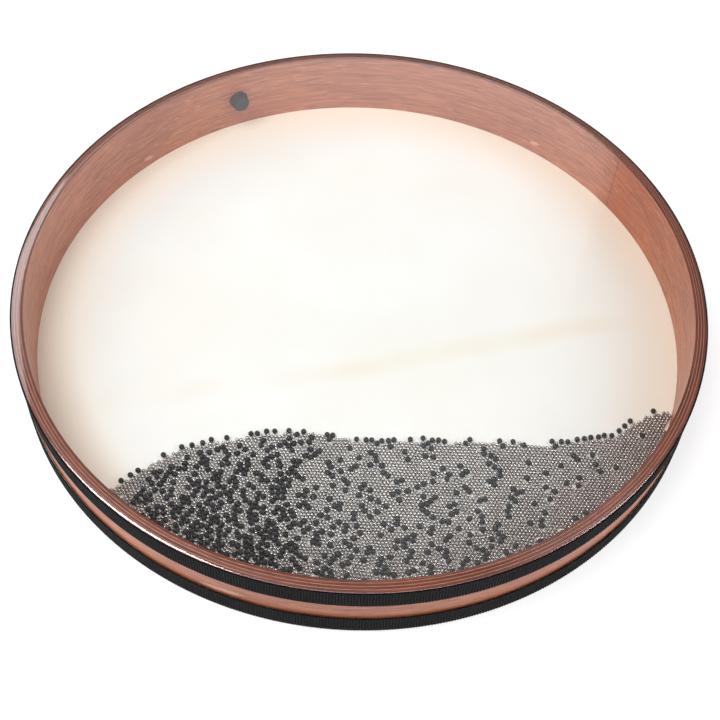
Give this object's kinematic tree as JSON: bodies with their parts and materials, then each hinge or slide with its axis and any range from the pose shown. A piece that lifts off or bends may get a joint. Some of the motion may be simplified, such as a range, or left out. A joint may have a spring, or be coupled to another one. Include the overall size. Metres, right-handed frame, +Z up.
{
  "type": "ocean drum",
  "caption": "Round shallow hand drum with a bent ply hoop, clear film head above, rawhide head below, ribbed edge tapes, a filler plug and loose balls that roll between the heads.",
  "frame": {"origin": "centre of the skin head's underside, on which the drum lies", "axes": "+Z up along the drum's axis towards the clear head, +Y towards the filler plug"},
  "size_m": [0.5616, 0.5618, 0.0613],
  "materials": {
    "hoop_ply": "red-brown veneer under a thin satin lacquer",
    "clear_film": "clear glossy polyester film",
    "rawhide": "scraped pale rawhide, matt, with faint streaks",
    "ribbed_tape": "black woven tape with fine upright ribs",
    "plug_rubber": "black moulded rubber, satin",
    "ball_steel": "polished bearing steel",
    "ball_black": "glossy black"
  },
  "bodies": {
    "drum": {"ply_outer": "hoop_ply", "ply_core_outer": "hoop_ply", "ply_core_inner": "hoop_ply", "ply_inner": "hoop_ply", "clear_head": "clear_film", "skin_head": "rawhide", "upper_tape": "ribbed_tape", "lower_tape": "ribbed_tape"},
    "plug": {"filler_plug": "plug_rubber"},
    "charge": {"steel_ball_bed": "ball_steel", "black_balls": "ball_black"}
  },
  "joints": [
    {"name": "charge_sweep", "type": "hinge", "parent": "drum", "child": "charge", "pos_m": [0, 0, 0], "axis": [0, 0, 1], "continuous": true},
    {"name": "plug_pull", "type": "slide", "parent": "drum", "child": "plug", "axis": [0, 1, 0], "range_m": [0, 0.03]}
  ]
}
